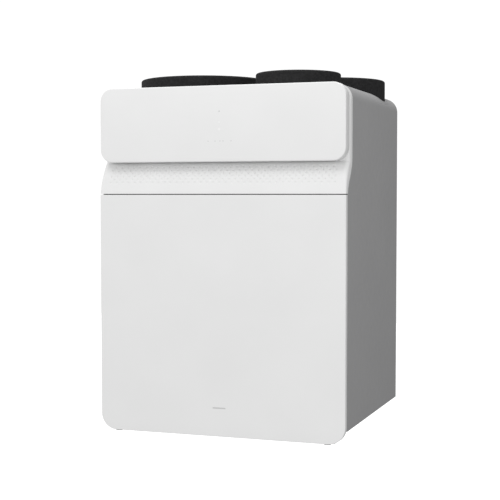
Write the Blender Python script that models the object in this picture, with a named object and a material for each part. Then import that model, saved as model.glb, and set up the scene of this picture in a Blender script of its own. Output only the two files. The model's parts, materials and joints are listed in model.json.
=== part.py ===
"""Wall-hung heat recovery ventilation unit.

Metres, +Z up, front faces -Y. The origin is the middle of the wall bracket's rear face.
Pieces are laid out with x (left to right), d (depth behind the front face) and
h (height above the door's bottom edge).
"""

import math

import bpy
import numpy as np
from mathutils import Matrix, Vector

# Outer shell
WIDTH = 0.600
HALF = WIDTH / 2
TOP = 0.8067
CASE_DEPTH = 0.5155
WALL_DEPTH = 0.5300
BRACKET_HEIGHT = 0.7200
CASE_BOTTOM = 0.0282
CORNER_R = 0.0360
SHEET = 0.0015
GAP = 0.0003

# Front
DOOR_TOP = 0.5577
FRAME_TOP = 0.5560
DOOR_DEPTH = 0.0150
DOOR_CORNER_R = 0.0390
BAND_BOTTOM = 0.5597
FASCIA_BOTTOM = 0.6333
FASCIA_DEPTH = 0.0297
FASCIA_HALF = 0.2990
FASCIA_CORNER_R = 0.0300
RIM_FRONT = 0.0300
RIM_REAR = 0.0540
BAND_END_R = 0.0110
MOULD_WALL = 0.0030
HINGE_X = 0.2570
HINGE_D = 0.0085
HINGE_H = 0.0035

# Duct collars: x, d, outer radius
EXTRACT_PORT = (0.1410, 0.1575, 0.1005)
OUTDOOR_PORT = (-0.1360, 0.2620, 0.1600)
EXHAUST_PORT = (0.1665, 0.3850, 0.1270)
SUPPLY_PORT = (0.1000, 0.3200, 0.1000)
DUCT_R = 0.0800
COLLAR_BASE = 0.7800
COLLAR_TOP = 0.8427
SUPPLY_COLLAR_LOW = 0.0040
SUPPLY_COLLAR_HIGH = 0.0440
SEAL_INNER_R = 0.0765
GROOVE_R = 0.0840
COLLAR_STEPS = 48
COLLAR_RIM = 0.0040
GROOVE_LOW = 0.8150
SUPPLY_GROOVE_LOW = 0.0200
GROOVE_HEIGHT = 0.0056

# Foam body
FOAM_HALF = 0.2982
FOAM_LOW = 0.0320
FOAM_HIGH = 0.5560
FOAM_SPLIT = 0.1965
FOAM_FRONT = 0.0185
FOAM_REAR = 0.5110
FOAM_TOP_LOW = 0.5580
FOAM_TOP_HIGH = 0.8049

# Opening behind the door, which the door's foam plug fills
MOUTH_HALF = 0.2760
MOUTH_LOW = 0.0480
MOUTH_HIGH = 0.5400
MOUTH_DEPTH = 0.0440

# Heat exchanger: a hexagonal block that slides out to the front
HEX_HALF = 0.1650
HEX_SHOULDER = 0.0700
HEX_MIDDLE = 0.3400
HEX_FRONT = 0.0600
HEX_REAR = 0.4500
PLATE = 0.0060

# Filters, in the plane of the exchanger's upper faces
FILTER_START = 0.0100
FILTER_LENGTH = 0.1720
FILTER_OFFSET = 0.0060
FILTER_THICK = 0.0220
FILTER_FRONT = 0.0500
FILTER_REAR = 0.4500
FILTER_BORDER = 0.0120
PLEATS = 14

# Fans stand upright in the bottom compartments
FAN_X = 0.1700
FAN_D = 0.1720
DECK_LOW = 0.1920
DECK_HIGH = 0.1960
INLET_R = 0.0480
WHEEL_R = 0.0720
WHEEL_LOW = 0.1150
WHEEL_HIGH = 0.1750
BLADES = 7
CHAMBER_INNER = 0.0600
CHAMBER_OUTER = 0.2620
CHAMBER_FLOOR = 0.0600
CHAMBER_REAR = 0.4295
CHAMBER_ROOF = 0.1985
RISER_LEFT = -0.2620
RISER_RIGHT = -0.1820
RISER_REAR = 0.5000

# Condensate tray and drain
TRAY_HALF = 0.0480
TRAY_LOW = 0.1480
TRAY_HIGH = 0.1710
TRAY_WALL = 0.0020
DRAIN_X = 0.0
DRAIN_D = 0.1500
DRAIN_R = 0.0160
DRAIN_BORE_R = 0.0130

# Cable glands, the control box, and the control board's parts: x, h, width, height, rise
GLAND_X = -0.2350
GLAND_D = 0.4650
GLAND_PITCH = 0.0450
GLAND_BODY_R = 0.0078
GLAND_FLANGE_R = 0.0110
CONTROL_LEFT = -0.2680
CONTROL_RIGHT = 0.0150
CONTROL_LOW = 0.5900
CONTROL_HIGH = 0.7850
CONTROL_WALL = 0.0020
CHIPS = [
    (-0.240, 0.700, 0.050, 0.040, 0.020),
    (-0.170, 0.620, 0.030, 0.030, 0.012),
    (-0.110, 0.690, 0.035, 0.035, 0.004),
    (-0.050, 0.735, 0.045, 0.018, 0.010),
    (-0.050, 0.615, 0.045, 0.018, 0.010),
]

# Door: inner foam liner with its plug, seal, hinge ears and catches
LINER_HALF = 0.2940
LINER_LOW = 0.0450
PLUG_HALF = 0.2740
PLUG_LOW = 0.0500
PLUG_HIGH = 0.5370
PLUG_DEPTH = 0.0400
SEAL_INSET = 0.0060
SEAL_WIDTH = 0.0080
EAR_XS = (0.2435, 0.2705)
EAR_HALF = 0.0045
PIN_R = 0.0015
PIN_BORE_R = 0.0018
KNUCKLE_R = 0.0060
KNUCKLE_HALF = 0.0070
CATCH_X = 0.2150
CATCH_HALF = 0.0150
CATCH_LOW = 0.5425
CATCH_HIGH = 0.5535

# Bypass damper
FLAP_D = 0.4850
FLAP_H = 0.5110

WHITE = (0.80, 0.80, 0.79)
CASING_GREY = (0.40, 0.40, 0.41)
STEEL = (0.62, 0.63, 0.65)
FOAM_BLACK = (0.022, 0.022, 0.024)
RUBBER = (0.012, 0.012, 0.013)
PLASTIC_GREY = (0.25, 0.26, 0.27)
PLASTIC_BLACK = (0.030, 0.030, 0.032)
FILM = (0.72, 0.76, 0.78)
BOARD_GREEN = (0.03, 0.17, 0.07)

for old in list(bpy.data.objects):
    bpy.data.objects.remove(old, do_unlink=True)


def place(x, d, h):
    return Vector((x, d - WALL_DEPTH, h - BRACKET_HEIGHT))


def object_from(name, points, faces):
    mesh = bpy.data.meshes.new(name)
    mesh.from_pydata([tuple(p) for p in points], [], faces)
    mesh.validate()
    mesh.update()
    obj = bpy.data.objects.new(name, mesh)
    bpy.context.scene.collection.objects.link(obj)
    return obj


def loft(name, rings):
    """A closed solid through rings of points that all have the same count."""
    count = len(rings[0])
    points = [p for ring in rings for p in ring]
    faces = []
    for i in range(len(rings) - 1):
        for k in range(count):
            after = (k + 1) % count
            low = i * count
            high = low + count
            faces.append((low + k, low + after, high + after, high + k))
    faces.append(tuple(reversed(range(count))))
    last = (len(rings) - 1) * count
    faces.append(tuple(range(last, last + count)))
    obj = object_from(name, points, faces)
    face_out(obj)
    return obj


def signed_volume(mesh):
    mesh.calc_loop_triangles()
    coords = np.empty(len(mesh.vertices) * 3)
    mesh.vertices.foreach_get("co", coords)
    coords = coords.reshape(-1, 3)
    corners = np.array([t.vertices[:] for t in mesh.loop_triangles])
    a, b, c = coords[corners[:, 0]], coords[corners[:, 1]], coords[corners[:, 2]]
    return float(np.einsum("ij,ij->i", a, np.cross(b, c)).sum()) / 6


def face_out(obj):
    if signed_volume(obj.data) < 0:
        obj.data.flip_normals()


def prism_y(name, outline, d0, d1):
    """Outline of (x, h) pairs run back from depth d0 to d1."""
    rings = [[place(x, d, h) for x, h in outline] for d in (d0, d1)]
    return loft(name, rings)


def prism_x(name, outline, x0, x1):
    """Outline of (d, h) pairs run across from x0 to x1."""
    rings = [[place(x, d, h) for d, h in outline] for x in (x0, x1)]
    return loft(name, rings)


def box(name, x0, x1, d0, d1, h0, h1):
    return prism_y(name, [(x0, h0), (x1, h0), (x1, h1), (x0, h1)], d0, d1)


def cylinder(name, x, d, radius, h0, h1, steps=40):
    turns = [2 * math.pi * k / steps for k in range(steps)]
    rings = []
    for h in (h0, h1):
        rings.append([place(x + radius * math.cos(a), d + radius * math.sin(a), h) for a in turns])
    return loft(name, rings)


def rod_x(name, d, h, radius, x0, x1, steps=16):
    turns = [2 * math.pi * k / steps for k in range(steps)]
    outline = [(d + radius * math.cos(a), h + radius * math.sin(a)) for a in turns]
    return prism_x(name, outline, x0, x1)


def ring_solid(name, x, d, profile, steps=40):
    """A closed (radius, h) profile turned about the vertical through (x, d)."""
    count = len(profile)
    points = []
    for k in range(steps):
        a = 2 * math.pi * k / steps
        points += [place(x + r * math.cos(a), d + r * math.sin(a), h) for r, h in profile]
    faces = []
    for k in range(steps):
        low = k * count
        high = ((k + 1) % steps) * count
        for i in range(count):
            after = (i + 1) % count
            faces.append((low + i, high + i, high + after, low + after))
    obj = object_from(name, points, faces)
    face_out(obj)
    return obj


def boolean(obj, other, operation):
    modifier = obj.modifiers.new("shape", "BOOLEAN")
    modifier.operation = operation
    modifier.solver = "EXACT"
    modifier.object = other
    graph = bpy.context.evaluated_depsgraph_get()
    graph.update()
    mesh = bpy.data.meshes.new_from_object(obj.evaluated_get(graph))
    obj.modifiers.remove(modifier)
    old = obj.data
    obj.data = mesh
    bpy.data.meshes.remove(old)
    bpy.data.objects.remove(other, do_unlink=True)
    return obj


def cut(obj, other):
    return boolean(obj, other, "DIFFERENCE")


def add(obj, other):
    return boolean(obj, other, "UNION")


def finish(obj, color, roughness=0.5, metallic=0.0, origin=None):
    """Name, material, smooth shading, and the origin on the joint axis where there is one."""
    material = bpy.data.materials.new(obj.name)
    material.use_nodes = True
    shader = material.node_tree.nodes["Principled BSDF"]
    shader.inputs["Base Color"].default_value = (*color, 1.0)
    shader.inputs["Roughness"].default_value = roughness
    shader.inputs["Metallic"].default_value = metallic
    obj.data.materials.clear()
    obj.data.materials.append(material)
    if origin is not None:
        obj.data.transform(Matrix.Translation(-origin))
        obj.location = origin
    obj.data.name = obj.name
    obj.data.shade_smooth()
    obj.data.set_sharp_from_angle(angle=math.radians(32))
    return obj


def arc(x, h, radius, start, end, steps):
    angles = [math.radians(start + (end - start) * k / steps) for k in range(steps + 1)]
    return [(x + radius * math.cos(a), h + radius * math.sin(a)) for a in angles]


def rounded(x0, x1, h0, h1, low_r, high_r, steps=8):
    """Outline of a rectangle with its lower and upper corners rounded."""
    outline = []
    outline += arc(x0 + low_r, h0 + low_r, low_r, 180, 270, steps) if low_r else [(x0, h0)]
    outline += arc(x1 - low_r, h0 + low_r, low_r, 270, 360, steps) if low_r else [(x1, h0)]
    outline += arc(x1 - high_r, h1 - high_r, high_r, 0, 90, steps) if high_r else [(x1, h1)]
    outline += arc(x0 + high_r, h1 - high_r, high_r, 90, 180, steps) if high_r else [(x0, h1)]
    return outline


def tray(name, outline_at, depth, edge, wall):
    """A shallow tray, open at the back. outline_at(inset) gives its outline."""
    steps = 3
    rings = []
    for k in range(steps + 1):
        a = math.radians(90 * k / steps)
        inset = edge * (1 - math.sin(a))
        d = edge * (1 - math.cos(a))
        rings.append([place(x, d, h) for x, h in outline_at(inset)])
    rings.append([place(x, depth, h) for x, h in outline_at(0)])
    body = loft(name, rings)
    return cut(body, prism_y("pocket", outline_at(wall), wall, depth + 0.010))


# Depth of the white front and of the grey casing's edge at each height
FRONT_LEVELS = [BAND_BOTTOM, 0.567, 0.575, 0.582, 0.590, 0.600, 0.610, 0.619, 0.625, 0.631, 0.6328, 0.637]


def band_front(h):
    heights = (0.5587, 0.567, 0.575, 0.590, 0.600, 0.610, 0.619, 0.631, 0.6328)
    depths = (0.0, 0.0008, 0.0022, 0.005, 0.008, 0.0125, 0.018, 0.027, RIM_FRONT)
    return float(np.interp(h, heights, depths))


def band_end_radius(h):
    heights = (0.5587, 0.567, 0.590, 0.600, 0.610)
    radii = (0.0020, 0.0030, 0.0070, 0.0100, BAND_END_R)
    return float(np.interp(h, heights, radii))


def casing_front(h):
    heights = (0.556, 0.561, 0.570, 0.580, 0.588, 0.600, 0.614, 0.625, 0.637)
    depths = (0.0157, 0.0162, 0.0185, 0.023, 0.028, 0.037, 0.0456, 0.051, RIM_REAR)
    return float(np.interp(h, heights, depths))


def half_width(h, inset=0.0):
    """Half width of the shell: straight, then round at the upper corners."""
    rise = h - (TOP - CORNER_R)
    if rise <= 0:
        return HALF - inset
    radius = CORNER_R - inset
    rise = min(rise, radius)
    return HALF - CORNER_R + math.sqrt(radius * radius - rise * rise)


# Outer shell
def make_casing_wrap():
    outer = [(-HALF, CASE_BOTTOM)]
    outer += arc(-HALF + CORNER_R, TOP - CORNER_R, CORNER_R, 180, 90, 10)
    outer += arc(HALF - CORNER_R, TOP - CORNER_R, CORNER_R, 90, 0, 10)
    outer += [(HALF, CASE_BOTTOM)]
    inner_r = CORNER_R - SHEET
    inner = [(HALF - SHEET, CASE_BOTTOM)]
    inner += arc(HALF - CORNER_R, TOP - CORNER_R, inner_r, 0, 90, 10)
    inner += arc(-HALF + CORNER_R, TOP - CORNER_R, inner_r, 90, 180, 10)
    inner += [(-HALF + SHEET, CASE_BOTTOM)]
    wrap = prism_y("casing_wrap", outer + inner, 0.0155, CASE_DEPTH)
    edge = [(-0.02, DOOR_TOP)]
    for h in [DOOR_TOP] + FRONT_LEVELS + [0.900]:
        edge.append((casing_front(h) + GAP, h))
    edge.append((-0.02, 0.900))
    cut(wrap, prism_x("cutter", edge, -0.4, 0.4))
    for x, d, radius in (EXTRACT_PORT, OUTDOOR_PORT, EXHAUST_PORT):
        cut(wrap, cylinder("cutter", x, d, radius + 0.0005, 0.770, 0.900, COLLAR_STEPS))
    for x in (GLAND_X, GLAND_X + GLAND_PITCH):
        cut(wrap, cylinder("cutter", x, GLAND_D, GLAND_BODY_R + 0.0004, 0.790, 0.900, 16))
    return finish(wrap, CASING_GREY, 0.45)


def make_base_panel():
    panel = box("base_panel", -0.2982, 0.2982, 0.0185, 0.5115, 0.0300, 0.0315)
    x, d, radius = SUPPLY_PORT
    cut(panel, cylinder("cutter", x, d, radius + 0.0005, 0, 0.1, COLLAR_STEPS))
    cut(panel, cylinder("cutter", DRAIN_X, DRAIN_D, DRAIN_R + 0.001, 0, 0.1, 20))
    return finish(panel, CASING_GREY, 0.45)


def make_rear_panel():
    outline = rounded(-0.2980, 0.2980, 0.0320, 0.8045, 0, 0.0338, 8)
    panel = prism_y("rear_panel", outline, 0.5120, 0.5135)
    x, d, radius = EXHAUST_PORT
    cut(panel, cylinder("cutter", x, d, radius + 0.0010, COLLAR_BASE - 0.001, 0.9, COLLAR_STEPS))
    return finish(panel, STEEL, 0.4, 0.8)


def make_front_frame():
    frame = box("front_frame", -0.2980, 0.2980, 0.0165, 0.0180, 0.0320, FRAME_TOP)
    cut(frame, box("cutter", -MOUTH_HALF, MOUTH_HALF, 0.0, 0.1, MOUTH_LOW, MOUTH_HIGH))
    return finish(frame, STEEL, 0.4, 0.8)


def front_ring(h, inset, rear):
    """Plan outline of the front cover at height h."""
    half = half_width(h, inset)
    front = band_front(h) + inset
    radius = max(band_end_radius(h) - inset, 0.0008)
    right = arc(half - radius, front + radius, radius, 270, 360, 5)
    left = arc(-half + radius, front + radius, radius, 180, 270, 5)
    outline = [(-half, rear)] + left + right + [(half, rear)]
    return [place(x, d, h) for x, d in outline]


def make_front_cover():
    levels = FRONT_LEVELS + [TOP - CORNER_R]
    corner = [math.radians(a) for a in (12, 24, 36, 48, 60, 72, 82)]
    levels += [TOP - CORNER_R + CORNER_R * math.sin(a) for a in corner]
    levels += [TOP]
    cover = loft("front_cover", [front_ring(h, 0.0, casing_front(h)) for h in levels])
    inner_top = TOP - MOULD_WALL
    inner_r = CORNER_R - MOULD_WALL
    inner = [BAND_BOTTOM + MOULD_WALL, 0.575, 0.590, 0.600, 0.610, 0.619, 0.631, 0.6328]
    inner += [TOP - CORNER_R]
    inner += [TOP - CORNER_R + inner_r * math.sin(a) for a in corner]
    inner += [inner_top]
    cut(cover, loft("cutter", [front_ring(h, MOULD_WALL, 0.080) for h in inner]))
    cut(cover, box("cutter", -0.120, 0.120, 0.0, 0.1, 0.680, 0.770))
    return finish(cover, WHITE, 0.4)


def make_fascia():
    def outline_at(inset):
        low, high = FASCIA_BOTTOM + inset, TOP - inset
        radius = FASCIA_CORNER_R - inset
        half = FASCIA_HALF - inset
        return rounded(-half, half, low, high, radius, radius, 8)

    finish(tray("fascia_tray", outline_at, FASCIA_DEPTH, 0.0020, MOULD_WALL), WHITE, 0.35)
    board = box("touch_board", -0.070, 0.050, 0.0036, 0.0052, 0.690, 0.765)
    for x in (-0.050, -0.010, 0.025):
        add(board, box("chip", x, x + 0.014, 0.0050, 0.0075, 0.715, 0.729))
    add(board, box("socket", -0.030, 0.000, 0.0050, 0.0120, 0.750, 0.760))
    finish(board, BOARD_GREEN, 0.5)


# Door
def make_door():
    def outline_at(inset):
        radius = DOOR_CORNER_R - inset
        return rounded(-HALF + inset, HALF - inset, inset, DOOR_TOP - inset, radius, 0, 8)

    door = tray("door_panel", outline_at, DOOR_DEPTH, 0.0015, 0.0016)
    for side in (-1, 1):
        for x in EAR_XS:
            left, right = side * x - EAR_HALF, side * x + EAR_HALF
            add(door, box("ear", left, right, 0.0010, 0.0135, 0.0008, 0.0085))
        clear = KNUCKLE_HALF + 0.0008
        left, right = side * HINGE_X - clear, side * HINGE_X + clear
        cut(door, box("cutter", left, right, 0.0018, 0.030, -0.01, 0.0140))
        cut(door, rod_x("cutter", HINGE_D, HINGE_H, PIN_BORE_R, side * 0.2360, side * 0.2800))
    finish(door, WHITE, 0.4, origin=place(0, HINGE_D, HINGE_H))

    make_door_liner()
    for side, word in ((-1, "left"), (1, "right")):
        pin = rod_x("hinge_pin_" + word, HINGE_D, HINGE_H, PIN_R, side * 0.2400, side * 0.2740, 14)
        finish(pin, STEEL, 0.3, 1.0, origin=place(0, HINGE_D, HINGE_H))
        left, right = side * CATCH_X - CATCH_HALF, side * CATCH_X + CATCH_HALF
        plate = box("catch_plate_" + word, left, right, 0.0019, 0.0096, CATCH_LOW, CATCH_HIGH)
        finish(plate, STEEL, 0.3, 1.0, origin=place(0, HINGE_D, HINGE_H))
        magnet = box("catch_magnet_" + word, left, right, 0.0100, 0.0162, CATCH_LOW, CATCH_HIGH)
        finish(magnet, PLASTIC_BLACK, 0.5)
        make_hinge_bracket(side, word)


def make_door_liner():
    """Foam behind the door's sheet, with a plug that fills the casing's mouth, and the seal on it."""
    liner = box("door_liner", -LINER_HALF, LINER_HALF, 0.0019, 0.0158, LINER_LOW, PLUG_HIGH)
    add(liner, box("plug", -PLUG_HALF, PLUG_HALF, DOOR_DEPTH, PLUG_DEPTH, PLUG_LOW, PLUG_HIGH))
    finish(liner, FOAM_BLACK, 0.9, origin=place(0, HINGE_D, HINGE_H))

    half, low, high = PLUG_HALF - SEAL_INSET, PLUG_LOW + SEAL_INSET, PLUG_HIGH - SEAL_INSET
    seal = box("door_seal", -half, half, PLUG_DEPTH + GAP, MOUTH_DEPTH - 0.0005, low, high)
    width = SEAL_WIDTH
    cut(seal, box("cutter", width - half, half - width, 0.0, 0.1, low + width, high - width))
    finish(seal, RUBBER, 0.8, origin=place(0, HINGE_D, HINGE_H))


def make_hinge_bracket(side, word):
    strap = [(0.0100, 0.0010), (0.0200, 0.0010), (0.0200, 0.0270), (0.0550, 0.0270)]
    strap += [(0.0550, 0.0295), (0.0175, 0.0295), (0.0175, 0.0040), (0.0100, 0.0040)]
    middle = side * HINGE_X
    bracket = prism_x("hinge_bracket_" + word, strap, middle - 0.0055, middle + 0.0055)
    low, high = middle - KNUCKLE_HALF, middle + KNUCKLE_HALF
    add(bracket, rod_x("knuckle", HINGE_D, HINGE_H, KNUCKLE_R, low, high, 20))
    cut(bracket, rod_x("cutter", HINGE_D, HINGE_H, PIN_BORE_R, middle - 0.02, middle + 0.02))
    finish(bracket, PLASTIC_BLACK, 0.5)


# Foam parts
def hexagon(grow):
    half = HEX_HALF + grow
    shoulder = HEX_SHOULDER + grow * 0.6
    middle = HEX_MIDDLE
    return [
        (0, middle + half),
        (-half, middle + shoulder),
        (-half, middle - shoulder),
        (0, middle - half),
        (half, middle - shoulder),
        (half, middle + shoulder),
    ]


def face_point(side, along, out):
    """A point measured along an upper face of the exchanger and outwards from it."""
    run = Vector((HEX_HALF, HEX_SHOULDER - HEX_HALF)).normalized()
    normal = Vector((-run.y, run.x))
    x = run.x * along + normal.x * out
    h = HEX_MIDDLE + HEX_HALF + run.y * along + normal.y * out
    return (side * x, h)


def slab(side, start, end, low, high):
    return [
        face_point(side, start, low),
        face_point(side, end, low),
        face_point(side, end, high),
        face_point(side, start, high),
    ]


def cut_mouth(body):
    """The recess that takes the foam plug and seal of the closed door."""
    cut(body, box("cutter", -MOUTH_HALF, MOUTH_HALF, 0.0, MOUTH_DEPTH, MOUTH_LOW, MOUTH_HIGH))


def cut_exchanger_room(body):
    """Room for the exchanger, its two filters and the spaces above and below them."""
    cut(body, prism_y("cutter", hexagon(0.0020), 0.020, HEX_REAR + 0.010))
    for side in (-1, 1):
        cut(body, prism_y("cutter", slab(side, 0.006, 0.186, -0.002, 0.030), 0.020, 0.455))
        outer = CHAMBER_OUTER
        upper = [(0.030, 0.519), (0.175, 0.436), (outer, 0.436), (outer, 0.546), (0.030, 0.546)]
        cut(body, prism_y("cutter", [(side * x, h) for x, h in upper], 0.075, 0.4545))
        under = [(0.030, 0.190), (outer, 0.190), (outer, 0.2665), (0.160, 0.2665), (0.030, 0.1925)]
        cut(body, prism_y("cutter", [(side * x, h) for x, h in under], 0.095, 0.430))


def cut_fan_rooms(body):
    """The two fan compartments, the condensate tray's slot, the drain and the supply duct."""
    for side in (-1, 1):
        low, high = sorted((side * CHAMBER_INNER, side * CHAMBER_OUTER))
        cut(body, box("cutter", low, high, 0.020, CHAMBER_REAR, CHAMBER_FLOOR, CHAMBER_ROOF))
    slot = TRAY_HALF + 0.002
    cut(body, box("cutter", -slot, slot, 0.020, 0.4580, TRAY_LOW - 0.001, CHAMBER_ROOF))
    cut(body, cylinder("cutter", DRAIN_X, DRAIN_D, DRAIN_R + 0.0008, 0.0, 0.160, 20))
    x, d, radius = SUPPLY_PORT
    cut(body, cylinder("cutter", x, d, radius + GAP, 0.0, SUPPLY_COLLAR_HIGH + GAP, COLLAR_STEPS))
    cut(body, cylinder("cutter", x, d, DUCT_R, 0.0, CHAMBER_FLOOR + 0.010))


def cut_exhaust_riser(body):
    """The duct that carries exhaust air up the back, from the fan to the top."""
    cut(body, box("cutter", RISER_LEFT, RISER_RIGHT, 0.4250, RISER_REAR, CHAMBER_FLOOR + 0.0005, 0.600))


def cut_bypass_duct(body):
    """The damper's pocket and the slanting duct behind the exchanger."""
    cut(body, box("cutter", 0.046, 0.240, 0.4665, 0.5045, 0.470, 0.600))
    cut(body, box("cutter", 0.070, 0.180, 0.4400, 0.4800, 0.522, 0.540))
    duct = [(0.060, 0.480), (-0.160, 0.206), (-0.070, 0.206), (0.160, 0.480)]
    cut(body, prism_y("cutter", duct, 0.4720, RISER_REAR))
    cut(body, box("cutter", -0.158, -0.072, 0.4200, 0.4990, 0.207, 0.240))


def make_foam_lower():
    top = FOAM_SPLIT - GAP
    body = box("foam_lower", -FOAM_HALF, FOAM_HALF, FOAM_FRONT, FOAM_REAR, FOAM_LOW, top)
    cut_mouth(body)
    cut_fan_rooms(body)
    cut_exhaust_riser(body)
    return finish(body, FOAM_BLACK, 0.9)


def make_foam_body():
    body = box("foam_body", -FOAM_HALF, FOAM_HALF, FOAM_FRONT, FOAM_REAR, FOAM_SPLIT, FOAM_HIGH)
    cut_mouth(body)
    cut_exchanger_room(body)
    cut_exhaust_riser(body)
    cut_bypass_duct(body)
    for x, d, _ in (EXTRACT_PORT, OUTDOOR_PORT):
        cut(body, cylinder("cutter", x, d, DUCT_R, 0.520, 0.600))
    return finish(body, FOAM_BLACK, 0.9)


def make_foam_top():
    outline = rounded(-FOAM_HALF, FOAM_HALF, FOAM_TOP_LOW, FOAM_TOP_HIGH, 0, CORNER_R - SHEET - GAP, 10)
    top = prism_y("foam_top", outline, 0.0600, FOAM_REAR)
    cut(top, box("cutter", -0.400, 0.0300, 0.0, 0.1040, 0.5, 0.9))
    for x, d, radius in (EXTRACT_PORT, OUTDOOR_PORT, EXHAUST_PORT):
        cut(top, cylinder("cutter", x, d, radius + GAP, COLLAR_BASE - GAP, 0.9, COLLAR_STEPS))
    for x, d, _ in (EXTRACT_PORT, OUTDOOR_PORT):
        cut(top, cylinder("cutter", x, d, DUCT_R, 0.5, 0.9))
    cut(top, cylinder("cutter", EXHAUST_PORT[0], EXHAUST_PORT[1], DUCT_R, 0.575, 0.9))
    cut(top, box("cutter", RISER_LEFT, 0.200, 0.4300, RISER_REAR, 0.5755, 0.655))
    cut(top, box("cutter", RISER_LEFT, RISER_RIGHT, 0.4300, RISER_REAR, 0.500, 0.600))
    for x in (GLAND_X, GLAND_X + GLAND_PITCH):
        cut(top, cylinder("cutter", x, GLAND_D, 0.0120, 0.785, 0.9, 16))
    return finish(top, FOAM_BLACK, 0.9)


def make_collar(name, port, low, high, groove, up=True):
    """A foam ring with a soft outer rim and a groove for its lip seal."""
    x, d, radius = port
    rim = COLLAR_RIM
    if up:
        profile = [(DUCT_R, low), (radius, low), (radius, high - rim)]
        profile += [(radius - rim * 0.3, high - rim * 0.3), (radius - rim, high), (DUCT_R, high)]
    else:
        profile = [(DUCT_R, low), (radius - rim, low), (radius - rim * 0.3, low + rim * 0.3)]
        profile += [(radius, low + rim), (radius, high), (DUCT_R, high)]
    top = groove + GROOVE_HEIGHT
    profile += [(DUCT_R, top), (GROOVE_R, top), (GROOVE_R, groove), (DUCT_R, groove)]
    finish(ring_solid("collar_" + name, x, d, profile, COLLAR_STEPS), FOAM_BLACK, 0.9)
    lip = [(SEAL_INNER_R, groove + 0.0022), (GROOVE_R - GAP, groove + GAP)]
    lip += [(GROOVE_R - GAP, top - GAP), (SEAL_INNER_R, groove + 0.0034)]
    finish(ring_solid("lip_seal_" + name, x, d, lip, COLLAR_STEPS), RUBBER, 0.7)


# Heat exchanger and filters
def make_exchanger():
    finish(prism_y("heat_exchanger", hexagon(-0.0005), HEX_FRONT, HEX_REAR), FILM, 0.3)
    front = HEX_FRONT - GAP - PLATE
    finish(prism_y("exchanger_front_plate", hexagon(0.0008), front, HEX_FRONT - GAP), PLASTIC_GREY, 0.5)
    rear = HEX_REAR + GAP
    finish(prism_y("exchanger_rear_plate", hexagon(0.0008), rear, rear + PLATE), PLASTIC_GREY, 0.5)
    foot = front - GAP
    pull = foot - 0.0060
    strap = [(foot, 0.430), (pull, 0.425), (pull, 0.255), (foot, 0.250)]
    strap += [(foot, 0.2525), (pull + 0.0014, 0.2565), (pull + 0.0014, 0.4235), (foot, 0.4275)]
    finish(prism_x("exchanger_strap", strap, -0.010, 0.010), PLASTIC_BLACK, 0.8)


def make_filter(side, word):
    start, end = FILTER_START, FILTER_START + FILTER_LENGTH
    low, high = FILTER_OFFSET, FILTER_OFFSET + FILTER_THICK
    frame = prism_y("filter_frame_" + word, slab(side, start, end, low, high), FILTER_FRONT, FILTER_REAR)
    inner_start, inner_end = start + FILTER_BORDER, end - FILTER_BORDER
    front, rear = FILTER_FRONT + FILTER_BORDER, FILTER_REAR - FILTER_BORDER
    cut(frame, prism_y("cutter", slab(side, inner_start, inner_end, -0.01, 0.05), front, rear))
    tab = slab(side, start + 0.060, start + 0.100, low + 0.007, high - 0.007)
    add(frame, prism_y("tab", tab, FILTER_FRONT - 0.0045, FILTER_FRONT + 0.001))
    finish(frame, WHITE, 0.5)
    ridge, valley = [], []
    for k in range(2 * PLEATS + 1):
        along = inner_start + GAP + (inner_end - inner_start - 2 * GAP) * k / (2 * PLEATS)
        out = low + 0.002 if k % 2 else high - 0.0045
        ridge.append(face_point(side, along, out))
        valley.append(face_point(side, along, out + 0.0022))
    media = prism_y("filter_media_" + word, ridge + valley[::-1], front + GAP, rear - GAP)
    finish(media, WHITE, 0.9)


# Fans
def make_fan(side, word):
    x = side * FAN_X
    low, high = sorted((side * (CHAMBER_INNER + 0.001), side * (CHAMBER_OUTER - 0.001)))
    deck = box("fan_deck_" + word, low, high, 0.0925, 0.4285, DECK_LOW, DECK_HIGH)
    cut(deck, cylinder("cutter", x, FAN_D, INLET_R + 0.0050, 0.0, 1.0, 32))
    finish(deck, PLASTIC_GREY, 0.5)
    mouth = [(INLET_R - 0.0040, 0.1780), (INLET_R - 0.0020, 0.1780), (INLET_R - 0.0005, 0.1900)]
    mouth += [(INLET_R + 0.0045, 0.1963), (INLET_R + 0.0140, 0.1963), (INLET_R + 0.0140, 0.1983)]
    mouth += [(INLET_R + 0.0035, 0.1983), (INLET_R - 0.0025, 0.1905)]
    finish(ring_solid("fan_inlet_" + word, x, FAN_D, mouth, 32), PLASTIC_BLACK, 0.5)
    motor = [(0.0060, 0.0605), (0.0600, 0.0605), (0.0600, 0.0635), (0.0450, 0.0635), (0.0430, 0.1080)]
    motor += [(0.0380, 0.1130), (0.0060, 0.1130)]
    finish(ring_solid("fan_motor_" + word, x, FAN_D, motor, 32), PLASTIC_BLACK, 0.4)
    make_wheel(side, word, x)


def make_wheel(side, word, x):
    wheel = cylinder("fan_wheel_" + word, x, FAN_D, WHEEL_R, WHEEL_LOW, WHEEL_LOW + 0.0030, 40)
    rise = WHEEL_HIGH - WHEEL_LOW
    shroud = [(INLET_R, rise), (INLET_R + 0.004, rise), (WHEEL_R, rise - 0.0125), (WHEEL_R, rise - 0.0155)]
    shroud += [(INLET_R + 0.003, rise - 0.0035), (INLET_R, rise - 0.0035)]
    profile = [(r, WHEEL_LOW + h) for r, h in shroud]
    for k in range(BLADES):
        add(wheel, blade(side, x, 2 * math.pi * k / BLADES))
    add(wheel, ring_solid("shroud", x, FAN_D, profile, 40))
    add(wheel, cylinder("hub", x, FAN_D, 0.0200, WHEEL_LOW, WHEEL_LOW + 0.0160, 24))
    finish(wheel, PLASTIC_BLACK, 0.5, origin=place(x, FAN_D, WHEEL_LOW))


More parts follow.
